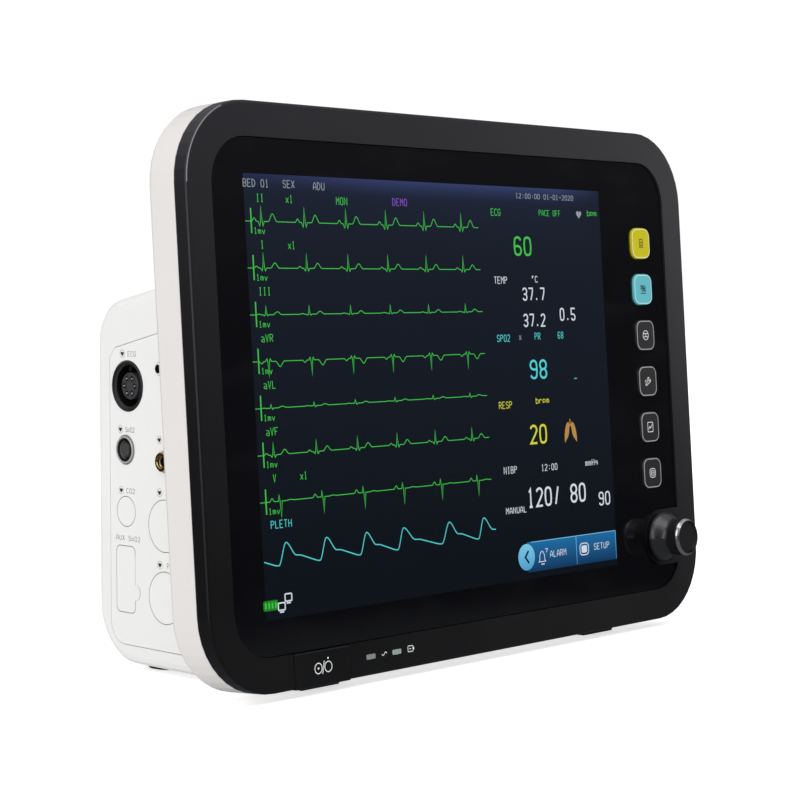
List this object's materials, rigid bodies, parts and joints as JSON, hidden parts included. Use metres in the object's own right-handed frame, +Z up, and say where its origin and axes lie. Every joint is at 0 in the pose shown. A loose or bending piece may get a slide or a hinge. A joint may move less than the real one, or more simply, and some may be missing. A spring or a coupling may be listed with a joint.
{
  "type": "patient monitor",
  "caption": "Bedside patient monitor with a leaning screen front, side keys, a push-and-turn knob, patient sockets in the left wall, a folding handle and a battery door.",
  "frame": {"origin": "centre of the bounding box in plan, on the surface that the feet stand on", "axes": "+X along the front to the viewer's right, +Y from the front to the back, +Z up"},
  "size_m": [0.348, 0.1403, 0.2482],
  "materials": {
    "white_plastic": "fine satin texture",
    "black_plastic": "satin",
    "black_acrylic": "glossy sheet, printed black round the screen",
    "yellow_key": "satin",
    "cyan_key": "satin",
    "black_key": "satin",
    "dark_plastic": "matte",
    "grey_plastic": "satin",
    "rubber": "matte",
    "polished_trim": "polished",
    "steel": "plain",
    "brass": "plated",
    "circuit_board": "solder mask",
    "battery_wrap": "shrink film",
    "light_window": "clear moulding"
  },
  "bodies": {
    "monitor": {"front_bezel": "black_plastic", "front_panel": "black_acrylic", "lcd_module": "steel", "chassis_plate": "steel", "key_board": "circuit_board", "power_board": "circuit_board", "mains_light_pipe": "light_window", "battery_light_pipe": "light_window", "rotary_encoder": "dark_plastic", "mid_housing": "white_plastic", "rear_cover": "white_plastic", "side_panel": "white_plastic", "ecg_socket": "dark_plastic", "spo2_socket": "grey_plastic", "temp_jack_1": "grey_plastic", "temp_jack_2": "grey_plastic", "nibp_connector": "brass", "co2_blank": "white_plastic", "aux_blank": "white_plastic", "pressure_blank_1": "white_plastic", "pressure_blank_2": "white_plastic", "main_board": "circuit_board", "parameter_board": "circuit_board", "power_supply": "circuit_board", "nibp_pump": "steel", "nibp_valve": "dark_plastic", "speaker": "dark_plastic", "battery_tray": "dark_plastic", "battery_pack": "battery_wrap", "ac_inlet": "dark_plastic", "fuse_holder": "dark_plastic", "earth_terminal": "brass", "network_port": "dark_plastic", "service_port": "dark_plastic", "rear_screw_1": "steel", "rear_screw_2": "steel", "rear_screw_3": "steel", "rear_screw_4": "steel", "front_foot_left": "rubber", "front_foot_right": "rubber", "rear_foot_left": "rubber", "rear_foot_right": "rubber", "mount_plate": "steel", "handle_pin_left": "steel", "handle_pin_right": "steel"},
    "key_alarm_silence": {"key_alarm_silence": "yellow_key"},
    "key_freeze": {"key_freeze": "cyan_key"},
    "key_record": {"key_record": "black_key"},
    "key_pressure_start": {"key_pressure_start": "black_key"},
    "key_review": {"key_review": "black_key"},
    "key_main_screen": {"key_main_screen": "black_key"},
    "power_button": {"power_button": "black_plastic"},
    "knob_contact": {"encoder_plunger": "brass"},
    "knob": {"selector_knob": "black_plastic", "knob_trim_ring": "polished_trim", "encoder_shaft": "steel"},
    "carrying_handle": {"carrying_handle": "grey_plastic"},
    "battery_door": {"battery_door": "white_plastic"}
  },
  "joints": [
    {"name": "key_alarm_silence_press", "type": "slide", "parent": "monitor", "child": "key_alarm_silence", "axis": [0, 0.9976, -0.0698], "range_m": [0, 0.0008], "stiffness_N_per_m": 1500},
    {"name": "key_freeze_press", "type": "slide", "parent": "monitor", "child": "key_freeze", "axis": [0, 0.9976, -0.0698], "range_m": [0, 0.0008], "stiffness_N_per_m": 1500},
    {"name": "key_record_press", "type": "slide", "parent": "monitor", "child": "key_record", "axis": [0, 0.9976, -0.0698], "range_m": [0, 0.0008], "stiffness_N_per_m": 1500},
    {"name": "key_pressure_start_press", "type": "slide", "parent": "monitor", "child": "key_pressure_start", "axis": [0, 0.9976, -0.0698], "range_m": [0, 0.0008], "stiffness_N_per_m": 1500},
    {"name": "key_review_press", "type": "slide", "parent": "monitor", "child": "key_review", "axis": [0, 0.9976, -0.0698], "range_m": [0, 0.0008], "stiffness_N_per_m": 1500},
    {"name": "key_main_screen_press", "type": "slide", "parent": "monitor", "child": "key_main_screen", "axis": [0, 0.9976, -0.0698], "range_m": [0, 0.0008], "stiffness_N_per_m": 1500},
    {"name": "power_press", "type": "slide", "parent": "monitor", "child": "power_button", "axis": [0, 0.9976, -0.0698], "range_m": [0, 0.001], "stiffness_N_per_m": 1500},
    {"name": "knob_push", "type": "slide", "parent": "monitor", "child": "knob_contact", "axis": [0, 0.9976, -0.0698], "range_m": [0, 0.0005], "stiffness_N_per_m": 4000},
    {"name": "knob_turn", "type": "hinge", "parent": "knob_contact", "child": "knob", "pos_m": [0.143, -0.05354, 0.0447], "axis": [0, -0.9976, 0.0698], "continuous": true},
    {"name": "handle_fold", "type": "hinge", "parent": "monitor", "child": "carrying_handle", "pos_m": [0, -0.00385, 0.18842], "axis": [1, 0, 0], "range_deg": [0, 72]},
    {"name": "battery_door_swing", "type": "hinge", "parent": "monitor", "child": "battery_door", "pos_m": [0.128, 0.03215, 0.0141], "axis": [-0.0872, 0.9962, 0], "range_deg": [0, 100]}
  ]
}
